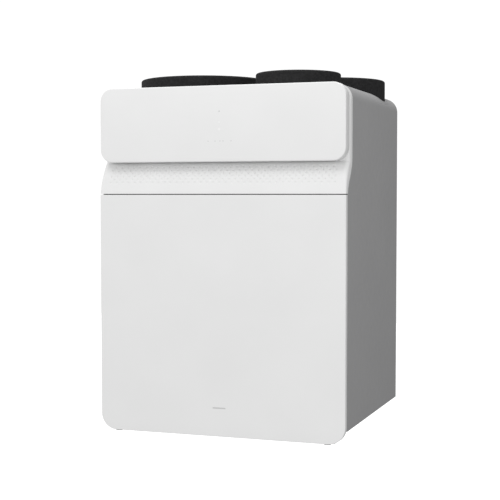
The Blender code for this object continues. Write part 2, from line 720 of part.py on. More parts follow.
def blade(side, x, turn):
    """One backward-curved blade as a thin upright wall, lofted from hub to rim."""
    steps = 6
    inner, outer = 0.0300, WHEEL_R - 0.0015
    low = WHEEL_LOW + 0.0015
    rings = []
    for k in range(steps + 1):
        share = k / steps
        radius = inner + (outer - inner) * share
        slope = max((radius - INLET_R) / (WHEEL_R - INLET_R), 0.0)
        roof = WHEEL_HIGH - 0.0020 - 0.0125 * slope
        angle = turn + side * 0.95 * share ** 1.2
        half_thick = 0.0009 / radius
        left, right = angle - half_thick, angle + half_thick
        corners = ((left, low), (right, low), (right, roof), (left, roof))
        ring = []
        for a, h in corners:
            ring.append(place(x + radius * math.cos(a), FAN_D + radius * math.sin(a), h))
        rings.append(ring)
    return loft("blade", rings)


def make_fan_bay_covers():
    for side, word in ((-1, "left"), (1, "right")):
        low, high = sorted((side * (CHAMBER_INNER + 0.001), side * (CHAMBER_OUTER - 0.001)))
        cover = box("fan_bay_cover_" + word, low, high, 0.0460, 0.0900, 0.0610, 0.1905)
        middle = side * 0.161
        cut(cover, box("cutter", middle - 0.040, middle + 0.040, 0.0, 0.0600, 0.1150, 0.1350))
        finish(cover, FOAM_BLACK, 0.9)


# Bypass, condensate, controls
def make_bypass():
    frame = box("bypass_frame", 0.0500, 0.1900, 0.4680, 0.5020, 0.5050, 0.5170)
    cut(frame, box("cutter", 0.0560, 0.1840, 0.4730, 0.4970, 0.4, 0.6))
    cut(frame, rod_x("cutter", FLAP_D, FLAP_H, 0.0029, 0.0, 0.3))
    finish(frame, PLASTIC_GREY, 0.5)
    flap = box("bypass_flap", 0.0570, 0.1830, 0.4740, 0.4960, FLAP_H - 0.0008, FLAP_H + 0.0008)
    add(flap, rod_x("shaft", FLAP_D, FLAP_H, 0.0025, 0.0500, 0.2020, 14))
    finish(flap, PLASTIC_BLACK, 0.5, origin=place(0.120, FLAP_D, FLAP_H))
    drive = box("bypass_actuator", 0.1940, 0.2340, 0.4700, 0.5010, 0.4960, 0.5260)
    cut(drive, rod_x("cutter", FLAP_D, FLAP_H, 0.0029, 0.1, 0.2050))
    finish(drive, PLASTIC_BLACK, 0.5)


def make_condensate():
    half, wall = TRAY_HALF, TRAY_WALL
    tray_body = box("condensate_tray", -half, half, 0.0520, 0.4560, TRAY_LOW, TRAY_HIGH)
    inner = half - wall
    cut(tray_body, box("cutter", -inner, inner, 0.0520 + wall, 0.4560 - wall, TRAY_LOW + wall, 0.2))
    cut(tray_body, cylinder("cutter", DRAIN_X, DRAIN_D, DRAIN_BORE_R, 0.1, 0.2, 20))
    finish(tray_body, PLASTIC_GREY, 0.5)
    low, high = 0.0060, TRAY_LOW - 0.0005
    spout = [(DRAIN_BORE_R, low), (DRAIN_R, low), (DRAIN_R, high), (DRAIN_BORE_R, high)]
    finish(ring_solid("drain_spout", DRAIN_X, DRAIN_D, spout, 24), PLASTIC_GREY, 0.5)


def make_controls():
    left, right, low, high = CONTROL_LEFT, CONTROL_RIGHT, CONTROL_LOW, CONTROL_HIGH
    case = box("control_box", left, right, 0.0575, 0.1000, low, high)
    wall = CONTROL_WALL
    room = box("cutter", left + wall, right - wall, 0.0500, 0.1000 - wall, low + wall, high - wall)
    cut(case, room)
    finish(case, STEEL, 0.4, 0.8)
    board = box("control_board", -0.2550, 0.0020, 0.0850, 0.0866, 0.6050, 0.7700)
    for x, h, width, height, rise in CHIPS:
        add(board, box("chip", x, x + width, 0.0855 - rise, 0.0855, h, h + height))
    finish(board, BOARD_GREEN, 0.5)
    for word, x, radius in (("mains", GLAND_X, 0.0035), ("signal", GLAND_X + GLAND_PITCH, 0.0025)):
        body, flange = GLAND_BODY_R, GLAND_FLANGE_R
        gland = [(radius, 0.7900), (body, 0.7900), (body, 0.8070), (flange, 0.8070)]
        gland += [(flange, 0.8130), (flange - 0.002, 0.8190), (radius + 0.001, 0.8210), (radius, 0.8210)]
        finish(ring_solid("cable_gland_" + word, x, GLAND_D, gland, 20), PLASTIC_BLACK, 0.5)


# Wall fixing
def make_wall_fixing():
    rail = [(0.5138, 0.715), (0.5158, 0.715), (0.5158, 0.768), (0.5250, 0.768)]
    rail += [(0.5250, 0.745), (0.5270, 0.745), (0.5270, 0.770), (0.5138, 0.770)]
    finish(prism_x("hanging_rail", rail, -0.240, 0.240), STEEL, 0.4, 0.9)
    hook = [(0.5280, 0.700), (0.5300, 0.700), (0.5300, 0.740), (0.5225, 0.740)]
    hook += [(0.5225, 0.7677), (0.5205, 0.7677), (0.5205, 0.738), (0.5280, 0.738)]
    bracket = prism_x("wall_bracket", hook, -0.230, 0.230)
    for x in (-0.180, 0.180):
        turns = [2 * math.pi * k / 20 for k in range(20)]
        hole = [(x + 0.0045 * math.cos(a), 0.718 + 0.0045 * math.sin(a)) for a in turns]
        cut(bracket, prism_y("cutter", hole, 0.5100, 0.5400))
    finish(bracket, STEEL, 0.4, 0.9)
    for side, word in ((-1, "left"), (1, "right")):
        turns = [2 * math.pi * k / 24 for k in range(24)]
        disc = [(side * 0.220 + 0.015 * math.cos(a), 0.080 + 0.015 * math.sin(a)) for a in turns]
        finish(prism_y("wall_spacer_" + word, disc, 0.5140, WALL_DEPTH), RUBBER, 0.8)


make_casing_wrap()
make_base_panel()
make_rear_panel()
make_front_frame()
make_front_cover()
make_fascia()
make_door()
make_foam_lower()
make_foam_body()
make_foam_top()
make_collar("extract", EXTRACT_PORT, COLLAR_BASE, COLLAR_TOP, GROOVE_LOW)
make_collar("outdoor", OUTDOOR_PORT, COLLAR_BASE, COLLAR_TOP, GROOVE_LOW)
make_collar("exhaust", EXHAUST_PORT, COLLAR_BASE, COLLAR_TOP, GROOVE_LOW)
make_collar("supply", SUPPLY_PORT, SUPPLY_COLLAR_LOW, SUPPLY_COLLAR_HIGH, SUPPLY_GROOVE_LOW, up=False)
make_exchanger()
make_filter(-1, "outdoor")
make_filter(1, "extract")
make_fan(-1, "exhaust")
make_fan(1, "supply")
make_fan_bay_covers()
make_bypass()
make_condensate()
make_controls()
make_wall_fixing()
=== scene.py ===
import json
import math

import bmesh
import bpy
import numpy as np
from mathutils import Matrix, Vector


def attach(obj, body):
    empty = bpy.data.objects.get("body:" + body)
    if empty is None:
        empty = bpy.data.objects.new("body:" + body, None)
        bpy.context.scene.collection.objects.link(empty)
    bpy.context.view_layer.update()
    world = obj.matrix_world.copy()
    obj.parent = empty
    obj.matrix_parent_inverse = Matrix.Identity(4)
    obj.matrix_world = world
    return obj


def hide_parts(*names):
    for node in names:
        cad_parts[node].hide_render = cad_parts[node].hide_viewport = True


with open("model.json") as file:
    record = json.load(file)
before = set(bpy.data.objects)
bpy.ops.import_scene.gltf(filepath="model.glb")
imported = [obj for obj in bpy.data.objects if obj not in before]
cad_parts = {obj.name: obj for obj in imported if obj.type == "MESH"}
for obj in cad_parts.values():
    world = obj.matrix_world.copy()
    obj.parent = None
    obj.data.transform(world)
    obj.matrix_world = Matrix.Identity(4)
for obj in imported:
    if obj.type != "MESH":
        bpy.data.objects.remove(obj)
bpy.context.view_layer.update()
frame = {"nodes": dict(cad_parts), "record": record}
NODES = frame["nodes"]

# ---------------------------------------------------------------- sizes shared with the CAD
# x runs across, d is the depth behind the front face, h the height above the door's bottom edge
WALL_DEPTH = 0.5300
BRACKET_HEIGHT = 0.7200
HALF = 0.300
TOP = 0.8067
CASE_DEPTH = 0.5155
CASE_BOTTOM = 0.0282
CORNER_R = 0.0360
SHOULDER = TOP - CORNER_R
SHEET = 0.0015
DOOR_TOP = 0.5577
DOOR_DEPTH = 0.0150
DOOR_CORNER_R = 0.0390
BAND_BOTTOM = 0.5597
FASCIA_BOTTOM = 0.6333
FASCIA_DEPTH = 0.0297
FASCIA_HALF = 0.2990
FASCIA_CORNER_R = 0.0300
RIM_FRONT = 0.0300
HINGE_X = 0.2570
HINGE_SLOT_HALF = 0.0078
EAR_XS = (0.2435, 0.2705)
EAR_HALF = 0.0045
# Duct collars: x, d, outer radius
PORTS = {
    "extract": (0.1410, 0.1575, 0.1005),
    "outdoor": (-0.1360, 0.2620, 0.1600),
    "exhaust": (0.1665, 0.3850, 0.1270),
    "supply": (0.1000, 0.3200, 0.1000),
}
DUCT_R = 0.0800
COLLAR_BASE = 0.7800
COLLAR_TOP = 0.8427
SUPPLY_LOW = 0.0040
SUPPLY_HIGH = 0.0440
COLLAR_RIM = 0.0050
COLLAR_INNER_RIM = 0.0015
GROOVE_LOW = 0.8150
SUPPLY_GROOVE_LOW = 0.0200
GROOVE_HEIGHT = 0.0056
GROOVE_R = 0.0840
HOLE_LOW = 0.7700
HOLE_RISE = 0.1000
COLLAR_CLEAR = 0.0006
GLAND_X = -0.2350
GLAND_D = 0.4650
GLAND_PITCH = 0.0450
GLAND_HOLE_R = 0.0082


def place(x, d, h):
    """World position of a point given as across, behind the front face, above the door's bottom edge."""
    return Vector((x, d - WALL_DEPTH, h - BRACKET_HEIGHT))


# ---------------------------------------------------------------- material helpers
class Nodes:
    """A short way to write a node material."""

    def __init__(self, name):
        self.material = bpy.data.materials.new(name)
        self.material.use_nodes = True
        self.tree = self.material.node_tree
        self.shader = self.tree.nodes["Principled BSDF"]
        self.coords = self.tree.nodes.new("ShaderNodeTexCoord").outputs["Object"]

    def node(self, kind, **values):
        made = self.tree.nodes.new(kind)
        for key, value in values.items():
            setattr(made, key, value)
        return made

    def link(self, source, target):
        self.tree.links.new(source, target)

    def noise(self, scale, detail=2.0, rough=0.5, coords=None):
        made = self.node("ShaderNodeTexNoise")
        made.inputs["Scale"].default_value = scale
        made.inputs["Detail"].default_value = detail
        made.inputs["Roughness"].default_value = rough
        self.link(coords or self.coords, made.inputs["Vector"])
        return made.outputs["Fac"]

    def cells(self, scale, feature="F1", coords=None, randomness=1.0):
        made = self.node("ShaderNodeTexVoronoi", feature=feature)
        made.inputs["Scale"].default_value = scale
        made.inputs["Randomness"].default_value = randomness
        self.link(coords or self.coords, made.inputs["Vector"])
        return made

    def ramp(self, source, stops):
        made = self.node("ShaderNodeValToRGB")
        elements = made.color_ramp.elements
        while len(elements) < len(stops):
            elements.new(0.5)
        for element, (at, color) in zip(elements, stops):
            element.position = at
            element.color = (*color, 1.0) if len(color) == 3 else color
        self.link(source, made.inputs["Fac"])
        return made.outputs["Color"]

    def span(self, source, low, high, low_in=0.0, high_in=1.0):
        made = self.node("ShaderNodeMapRange")
        made.inputs["From Min"].default_value = low_in
        made.inputs["From Max"].default_value = high_in
        made.inputs["To Min"].default_value = low
        made.inputs["To Max"].default_value = high
        self.link(source, made.inputs["Value"])
        return made.outputs["Result"]

    def math(self, operation, a, b=None):
        made = self.node("ShaderNodeMath", operation=operation)
        for socket, value in ((0, a), (1, b)):
            if value is None:
                continue
            if isinstance(value, (int, float)):
                made.inputs[socket].default_value = value
            else:
                self.link(value, made.inputs[socket])
        return made.outputs["Value"]

    def bump(self, height, strength, distance, normal=None):
        made = self.node("ShaderNodeBump")
        made.inputs["Strength"].default_value = strength
        made.inputs["Distance"].default_value = distance
        self.link(height, made.inputs["Height"])
        if normal is not None:
            self.link(normal, made.inputs["Normal"])
        return made.outputs["Normal"]

    def set(self, **values):
        for key, value in values.items():
            self.shader.inputs[key.replace("_", " ")].default_value = value

    def drive(self, key, source):
        self.link(source, self.shader.inputs[key])


def tone(color, change):
    """A colour made lighter or darker by a fraction."""
    return tuple(max(c * (1 + change), 0.0) for c in color)


def enamel(name, color, rough, grain=900.0, depth=0.00006, vary=0.012, coat=0.0):
    """Sprayed or powder-coated skin: faint cloudiness and fine orange peel."""
    n = Nodes(name)
    cloud = n.noise(7.0, 3.0)
    n.drive("Base Color", n.ramp(cloud, [(0.3, tone(color, -vary)), (0.7, tone(color, vary))]))
    n.drive("Roughness", n.span(n.noise(60.0, 2.0), rough - 0.04, rough + 0.05, 0.3, 0.7))
    n.drive("Normal", n.bump(n.noise(grain, 2.0), 0.35, depth))
    n.set(Coat_Weight=coat, Coat_Roughness=0.25, Specular_IOR_Level=0.35)
    return n.material


def moulded(name, color, rough, grain=1500.0, depth=0.00004, vary=0.03):
    """Moulded plastic with a fine spark-eroded texture."""
    n = Nodes(name)
    cloud = n.noise(22.0, 4.0)
    n.drive("Base Color", n.ramp(cloud, [(0.3, tone(color, -vary)), (0.7, tone(color, vary))]))
    n.drive("Roughness", n.span(n.noise(140.0, 2.0), rough - 0.06, rough + 0.06, 0.3, 0.7))
    n.drive("Normal", n.bump(n.noise(grain, 3.0), 0.4, depth))
    return n.material


def bead_foam(name, color, bead=260.0, depth=0.0006, vary=0.35, rough=0.78):
    """Expanded bead foam: packed cells with darker joints and a fine skin grain."""
    n = Nodes(name)
    beads = n.cells(bead, "F1")
    joints = n.cells(bead, "DISTANCE_TO_EDGE")
    fine = n.noise(1800.0, 3.0)
    shade = n.node("ShaderNodeSeparateColor")
    n.link(beads.outputs["Color"], shade.inputs["Color"])
    mixed = n.math("ADD", n.math("MULTIPLY", shade.outputs["Red"], 0.6), n.math("MULTIPLY", fine, 0.4))
    n.drive("Base Color", n.ramp(mixed, [(0.2, tone(color, -vary)), (0.8, tone(color, vary))]))
    edge = n.span(joints.outputs["Distance"], 0.0, 1.0, 0.0, 0.12)
    height = n.math("ADD", edge, n.math("MULTIPLY", fine, 0.35))
    n.drive("Normal", n.bump(height, 0.55, depth))
    n.drive("Roughness", n.span(fine, rough - 0.08, rough + 0.1, 0.3, 0.7))
    n.set(Specular_IOR_Level=0.22)
    return n.material


def galvanised(name, color=(0.52, 0.53, 0.55), rough=0.38):
    """Zinc-coated sheet with a faint spangle."""
    n = Nodes(name)
    spangle = n.cells(90.0, "F1")
    shade = n.node("ShaderNodeSeparateColor")
    n.link(spangle.outputs["Color"], shade.inputs["Color"])
    spread = [(0.0, tone(color, -0.10)), (1.0, tone(color, 0.10))]
    n.drive("Base Color", n.ramp(shade.outputs["Red"], spread))
    n.drive("Roughness", n.span(shade.outputs["Green"], rough - 0.07, rough + 0.09))
    n.drive("Normal", n.bump(n.noise(700.0, 2.0), 0.15, 0.00005))
    n.set(Metallic=0.85)
    return n.material


def rubbery(name, color=(0.012, 0.012, 0.013)):
    """Soft black rubber with a fine grain."""
    n = Nodes(name)
    grain = n.noise(1100.0, 3.0)
    n.drive("Base Color", n.ramp(grain, [(0.3, tone(color, -0.3)), (0.7, tone(color, 0.5))]))
    n.drive("Roughness", n.span(grain, 0.55, 0.75, 0.3, 0.7))
    n.drive("Normal", n.bump(grain, 0.3, 0.00008))
    return n.material


def board_material(name):
    """Green circuit board: traces under lacquer."""
    n = Nodes(name)
    traces = n.node("ShaderNodeTexBrick")
    traces.inputs["Scale"].default_value = 160.0
    traces.inputs["Mortar Size"].default_value = 0.06
    traces.inputs["Color1"].default_value = (0.012, 0.10, 0.035, 1)
    traces.inputs["Color2"].default_value = (0.010, 0.085, 0.030, 1)
    traces.inputs["Mortar"].default_value = (0.03, 0.19, 0.07, 1)
    n.link(n.coords, traces.inputs["Vector"])
    n.drive("Base Color", traces.outputs["Color"])
    n.drive("Roughness", n.span(n.noise(300.0), 0.25, 0.4))
    return n.material


PLATE_PITCH = 0.0024


def plate_stack(name):
    """The exchanger's end: a stack of thin corrugated sheets, with painted shade darkening the gaps
    between them.
    """
    n = Nodes(name)
    split = n.node("ShaderNodeSeparateXYZ")
    n.link(n.coords, split.inputs["Vector"])
    wave = n.math("SINE", n.math("MULTIPLY", split.outputs["Y"], 2 * math.pi / PLATE_PITCH))
    level = n.span(wave, 0.0, 1.0, -1.0, 1.0)
    # The darker half of each stripe is painted shade in the gap between two sheets; the bump gives the
    # corrugation.
    n.drive("Base Color", n.ramp(level, [(0.0, (0.30, 0.33, 0.36)), (0.6, (0.70, 0.74, 0.77))]))
    n.drive("Normal", n.bump(level, 0.8, 0.0008))
    n.drive("Roughness", n.span(n.noise(80.0), 0.25, 0.45))
    return n.material


def fleece(name, color=(0.80, 0.80, 0.78)):
    """Filter fleece: tangled fibres."""
    n = Nodes(name)
    fibres = n.noise(900.0, 6.0, 0.7)
    n.drive("Base Color", n.ramp(fibres, [(0.3, tone(color, -0.12)), (0.7, tone(color, 0.04))]))
    n.drive("Normal", n.bump(fibres, 0.6, 0.0003))
    n.drive("Roughness", n.span(fibres, 0.85, 1.0))
    return n.material


WHITE = (0.740, 0.741, 0.740)
# The front cover's white is darker than WHITE: painted shade, so the band that tilts up under the fascia
# reads a little darker than the fascia.
SHADED_COVER_WHITE = (0.722, 0.723, 0.722)
# The door's white is darker again: painted shade for the light falling off toward the bottom of the
# unit.
SHADED_DOOR_WHITE = (0.712, 0.713, 0.712)
GREY = (0.330, 0.330, 0.333)
BLACK_FOAM = (0.0125, 0.0125, 0.0130)

MATERIALS = {
    # This enamel takes the darker door white, with its painted shade.
    "white_enamel": enamel("white_enamel", SHADED_DOOR_WHITE, 0.52),
    "white_moulding": enamel("white_moulding", WHITE, 0.50, grain=1300.0, depth=0.00004),
    "grey_enamel": enamel("grey_enamel", GREY, 0.48, grain=1100.0, depth=0.00008, vary=0.02),
    "zinc_steel": galvanised("zinc_steel"),
    "black_foam": bead_foam("black_foam", BLACK_FOAM),
    "rubber": rubbery("rubber"),
    "grey_plastic": moulded("grey_plastic", (0.20, 0.21, 0.22), 0.5),
    "black_plastic": moulded("black_plastic", (0.020, 0.020, 0.022), 0.45),
    "exchanger_film": plate_stack("exchanger_film"),
    "filter_cloth": fleece("filter_cloth"),
    "circuit_board": board_material("circuit_board"),
    # The front cover's material carries that painted shade in its darker white.
    "shaded_cover_white": enamel("shaded_cover_white", SHADED_COVER_WHITE, 0.50, grain=1300.0, depth=0.00004),
    "mark_grey": moulded("mark_grey", (0.50, 0.50, 0.50), 0.5, vary=0.02),
    "mark_light": moulded("mark_light", (0.785, 0.785, 0.785), 0.5, vary=0.01),
}
SLOT_OF = {s["node"]: s["material_slot"] for s in frame["record"]["subparts"]}
for node_name, node in NODES.items():
    node.data.materials.clear()
    node.data.materials.append(MATERIALS[SLOT_OF[node_name]])

# Rounded edge widths of the carried-over pieces whose edges can be seen
EDGE_WIDTHS = {
    "door_liner": 0.0020,
    "fan_bay_cover_left": 0.0020,
    "fan_bay_cover_right": 0.0020,
    "exchanger_front_plate": 0.0012,
    "exchanger_rear_plate": 0.0012,
    "control_box": 0.0006,
    "wall_bracket": 0.0005,
    "hanging_rail": 0.0005,
    "bypass_actuator": 0.0008,
    "door_seal": 0.0008,
    "catch_plate_left": 0.0005,
    "catch_plate_right": 0.0005,
    "catch_magnet_left": 0.0005,
    "catch_magnet_right": 0.0005,
    "exchanger_strap": 0.0004,
    "wall_spacer_left": 0.0010,
    "wall_spacer_right": 0.0010,
}
WELD_DISTANCE = 0.00002
BEVEL_ANGLE = math.radians(40)
SPLIT_ANGLE = math.radians(32)


def refine_node(name, node):
    """Smooth shading on the round faces and small rounded edges; no vertex is moved."""
    mesh = node.data
    if "custom_normal" in mesh.attributes:
        mesh.attributes.remove(mesh.attributes["custom_normal"])
    mesh.polygons.foreach_set("use_smooth", [True] * len(mesh.polygons))
    weld = node.modifiers.new("weld", "WELD")
    weld.merge_threshold = WELD_DISTANCE
    if name in EDGE_WIDTHS:
        bevel = node.modifiers.new("edges", "BEVEL")
        bevel.width = EDGE_WIDTHS[name]
        bevel.segments = 2
        bevel.limit_method = "ANGLE"
        bevel.angle_limit = BEVEL_ANGLE
    split = node.modifiers.new("sharp", "EDGE_SPLIT")
    split.split_angle = SPLIT_ANGLE


for node_name, node in NODES.items():
    refine_node(node_name, node)


# ---------------------------------------------------------------- mesh helpers
def new_object(name, points, faces):
    mesh = bpy.data.meshes.new(name)
    mesh.from_pydata([tuple(p) for p in points], [], faces)
    mesh.validate()
    mesh.update()
    obj = bpy.data.objects.new(name, mesh)
    bpy.context.scene.collection.objects.link(obj)
    return obj


def smooth(obj, angle=32):
    obj.data.shade_smooth()
    obj.data.set_sharp_from_angle(angle=math.radians(angle))


def tidy_normals(obj):
    """Weld doubled points and turn every face outward."""
    work = bmesh.new()
    work.from_mesh(obj.data)
    bmesh.ops.remove_doubles(work, verts=work.verts, dist=1e-6)
    bmesh.ops.recalc_face_normals(work, faces=work.faces)
    work.to_mesh(obj.data)
    work.free()


def dress(obj, material, body="unit", nodes=(), angle=32):
    """Give a piece its material and its body, and hide the CAD nodes it stands for."""
    obj.data.materials.clear()
    obj.data.materials.append(MATERIALS[material])
    smooth(obj, angle)
    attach(obj, body)
    if nodes:
        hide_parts(*nodes)
    return obj


def rings_mesh(name, rings):
    """A closed skin through equal rings of points, capped at both ends."""
    count = len(rings[0])
    points = [p for ring in rings for p in ring]
    faces = []
    for i in range(len(rings) - 1):
        low, high = i * count, (i + 1) * count
        for k in range(count):
            after = (k + 1) % count
            faces.append((low + k, low + after, high + after, high + k))
    faces.append(tuple(reversed(range(count))))
    last = (len(rings) - 1) * count
    faces.append(tuple(range(last, last + count)))
    obj = new_object(name, points, faces)
    tidy_normals(obj)
    return obj


def lathe(name, x, d, profile, steps=128):
    """A ring turned about an upright axis, from a closed profile of (radius, height)."""
    count = len(profile)
    points, faces = [], []
    for k in range(steps):
        a = 2 * math.pi * k / steps
        points += [place(x + r * math.cos(a), d + r * math.sin(a), h) for r, h in profile]
        after = ((k + 1) % steps) * count
        for i in range(count):
            j = (i + 1) % count
            faces.append((k * count + i, after + i, after + j, k * count + j))
    obj = new_object(name, points, faces)
    tidy_normals(obj)
    return obj


def arc(x, h, radius, start, end, steps):
    """Points along an arc, with its angles in degrees."""
    angles = [math.radians(start + (end - start) * k / steps) for k in range(steps + 1)]
    return [(x + radius * math.cos(a), h + radius * math.sin(a)) for a in angles]


def rounded(x0, x1, h0, h1, low_r, high_r, steps=16):
    """A rectangle with one radius on its lower corners and one on its upper corners."""
    outline = []
    outline += arc(x0 + low_r, h0 + low_r, low_r, 180, 270, steps)
    outline += arc(x1 - low_r, h0 + low_r, low_r, 270, 360, steps)
    outline += arc(x1 - high_r, h1 - high_r, high_r, 0, 90, steps)
    outline += arc(x0 + high_r, h1 - high_r, high_r, 90, 180, steps)
    return outline


def circle(x, d, radius, h, steps):
    """A level ring of points."""
    angles = [2 * math.pi * k / steps for k in range(steps)]
    return [place(x + radius * math.cos(a), d + radius * math.sin(a), h) for a in angles]


def apply_modifiers(obj):
    graph = bpy.context.evaluated_depsgraph_get()
    graph.update()
    mesh = bpy.data.meshes.new_from_object(obj.evaluated_get(graph))
    obj.modifiers.clear()
    obj.data = mesh


def cut(obj, cutter):
    """Take the cutter's volume out of the object."""
    modifier = obj.modifiers.new("cut", "BOOLEAN")
    modifier.operation = "DIFFERENCE"
    modifier.solver = "EXACT"
    modifier.object = cutter
    apply_modifiers(obj)
    bpy.data.objects.remove(cutter, do_unlink=True)


def cut_round(obj, x, d, radius, steps):
    """An upright round hole through the casing's top."""
    low = circle(x, d, radius, HOLE_LOW, steps)
    high = [p + Vector((0, 0, HOLE_RISE)) for p in low]
    cut(obj, rings_mesh("cutter", [low, high]))


def block(name, x0, x1, d0, d1, h0, h1):
    corners = [(x0, h0), (x1, h0), (x1, h1), (x0, h1)]
    return rings_mesh(name, [[place(x, d, h) for x, h in corners] for d in (d0, d1)])


def soften(obj, width, segments=3):
    """Round the edges of a small block."""
    modifier = obj.modifiers.new("edges", "BEVEL")
    modifier.width = width
    modifier.segments = segments
    modifier.limit_method = "ANGLE"
    modifier.angle_limit = math.radians(35)
    apply_modifiers(obj)


# ---------------------------------------------------------------- front profile
def blend_table(h, heights, values):
    """Smooth monotone interpolation through a short table."""
    h = min(max(h, heights[0]), heights[-1])
    slopes = []
    for i in range(len(heights) - 1):
        slopes.append((values[i + 1] - values[i]) / (heights[i + 1] - heights[i]))
    tangents = [slopes[0]]
    for before, after in zip(slopes, slopes[1:]):
        tangents.append(0.0 if before * after <= 0 else 2 * before * after / (before + after))
    tangents.append(slopes[-1])
    for i in range(len(slopes)):
        if h <= heights[i + 1]:
            run = heights[i + 1] - heights[i]
            t = (h - heights[i]) / run
            start = (1 + 2 * t) * (1 - t) ** 2 * values[i] + t * (1 - t) ** 2 * run * tangents[i]
            end = t * t * (3 - 2 * t) * values[i + 1] + t * t * (t - 1) * run * tangents[i + 1]
            return start + end
    return values[-1]


def band_front(h):
    """Depth of the white band's face: flush at the door, sloping back under the fascia."""
    heights = (0.5587, 0.567, 0.575, 0.590, 0.600, 0.610, 0.619, 0.631, 0.6328)
    depths = (0.0, 0.0008, 0.0022, 0.005, 0.008, 0.0125, 0.018, 0.027, RIM_FRONT)
    return blend_table(h, heights, depths)


def band_end_radius(h):
    """Radius at the band's two ends."""
    heights = (0.5587, 0.567, 0.590, 0.600, 0.610)
    radii = (0.0020, 0.0030, 0.0070, 0.0100, 0.0110)
    return blend_table(h, heights, radii)


def casing_front(h):
    """Depth of the grey casing's front edge."""
    heights = (0.556, 0.561, 0.570, 0.580, 0.588, 0.600, 0.614, 0.625, 0.637)
    depths = (0.0157, 0.0162, 0.0185, 0.023, 0.028, 0.037, 0.0456, 0.051, 0.0540)
    return blend_table(h, heights, depths)


def half_width(h):
    """Half the unit's width at a height: full below, narrowing round the upper corners."""
    rise = h - SHOULDER
    if rise <= 0:
        return HALF
    rise = min(rise, CORNER_R)
    return HALF - CORNER_R + math.sqrt(CORNER_R * CORNER_R - rise * rise)


# ---------------------------------------------------------------- casing
FRAME_TOP = 0.5560
EDGE_STEP = 0.0027
EDGE_STEPS = 30
CORNER_STEPS = 20
FRONT_GAP = 0.0003


def make_casing():
    """Grey painted sheet: two sides and the top in one piece, with holes for the collars and glands."""
    side = [CASE_BOTTOM, 0.20, 0.40, FRAME_TOP]
    side += [FRAME_TOP + EDGE_STEP * k for k in range(1, EDGE_STEPS + 1)]
    side += [0.70]
    outline = [(-HALF, h) for h in side]
    outline += arc(-HALF + CORNER_R, SHOULDER, CORNER_R, 180, 90, CORNER_STEPS)
    outline += arc(HALF - CORNER_R, SHOULDER, CORNER_R, 90, 0, CORNER_STEPS)
    outline += [(HALF, h) for h in reversed(side)]
    depths = (0.0, 0.25, 0.5, 0.75, 1.0)
    points, faces = [], []
    for x, h in outline:
        front = casing_front(h) + FRONT_GAP
        points += [place(x, front + (CASE_DEPTH - front) * t, h) for t in depths]
    across = len(depths)
    for i in range(len(outline) - 1):
        for k in range(across - 1):
            a = i * across + k
            faces.append((a, a + 1, a + across + 1, a + across))
    shell = new_object("casing_shell", points, faces)
    solid = shell.modifiers.new("sheet", "SOLIDIFY")
    solid.thickness = SHEET
    solid.offset = 1.0
    apply_modifiers(shell)
    for name in ("extract", "outdoor", "exhaust"):
        x, d, radius = PORTS[name]
        cut_round(shell, x, d, radius + COLLAR_CLEAR, 128)
    for x in (GLAND_X, GLAND_X + GLAND_PITCH):
        cut_round(shell, x, GLAND_D, GLAND_HOLE_R, 32)
    return dress(shell, "grey_enamel", nodes=["casing_wrap"], angle=30)


# ---------------------------------------------------------------- white front
DIMPLE_PITCH = 0.0152
DIMPLE_ROWS = 6
DIMPLE_ROW_RISE = 0.0073
DIMPLE_FIRST = 0.5855
DIMPLE_END = 0.2740
DIMPLE_R = 0.0029
DIMPLE_DEPTH = 0.0024
DIMPLE_LEAST = 0.45
DIMPLE_GROWTH = 0.11
BAND_COLUMNS = 760
BAND_END_STEPS = 10
DIMPLES_FROM = 0.5815
DIMPLES_TO = 0.6262
DIMPLES_STEP = 0.0008


def dimple_depth(x, h):
    """How far the band is pressed in: staggered rows of round dents, deeper in the upper rows."""
    row = round((h - DIMPLE_FIRST) / DIMPLE_ROW_RISE)
    deepest = 0.0
    for r in (row - 1, row, row + 1):
        if not 0 <= r < DIMPLE_ROWS:
            continue
        shift = DIMPLE_PITCH / 2 if r % 2 else 0.0
        column = round((x - shift) / DIMPLE_PITCH)
        middle = column * DIMPLE_PITCH + shift
        if abs(middle) > DIMPLE_END:
            continue
        away = math.hypot(x - middle, h - DIMPLE_FIRST - r * DIMPLE_ROW_RISE) / DIMPLE_R
        if away < 1:
            depth = DIMPLE_DEPTH * (DIMPLE_LEAST + DIMPLE_GROWTH * r)
            deepest = max(deepest, depth * (1 - away * away))
    return deepest


def front_ring(h):
    """One level section through the white front cover."""
    half = half_width(h)
    front = band_front(h)
    radius = band_end_radius(h)
    rear = casing_front(h)
    right = arc(half - radius, front + radius, radius, 270, 360, BAND_END_STEPS)
    left = arc(-half + radius, front + radius, radius, 180, 270, BAND_END_STEPS)
    across = np.linspace(-half + radius, half - radius, BAND_COLUMNS)[1:-1]
    spread = [(x, front + dimple_depth(x, h)) for x in across]
    outline = [(-half, rear)] + left + spread + right + [(half, rear)]
    return [place(x, d, h) for x, d in outline]


def make_front_cover():
    """White cover: the dimpled band and the rim behind the fascia."""
    levels = [BAND_BOTTOM, BAND_BOTTOM + 0.0006, 0.567, 0.575]
    levels += list(np.arange(DIMPLES_FROM, DIMPLES_TO, DIMPLES_STEP))
    levels += [0.6275, 0.629, 0.631, 0.6328, 0.640, 0.700, SHOULDER]
    turns = (8, 16, 24, 32, 40, 48, 56, 64, 72, 80, 86, 90)
    levels += [SHOULDER + CORNER_R * math.sin(math.radians(a)) for a in turns]
    cover = rings_mesh("front_cover_shell", [front_ring(h) for h in levels])
    # The cover's white is darkened: painted shade.
    return dress(cover, "shaded_cover_white", nodes=["front_cover"], angle=36)


EDGE_ROLL_STEPS = 6
FASCIA_EDGE = 0.0022
FASCIA_WALL = 0.0030
DOOR_EDGE = 0.0018
DOOR_WALL = 0.0016
DOOR_SQUARE_R = 0.0012


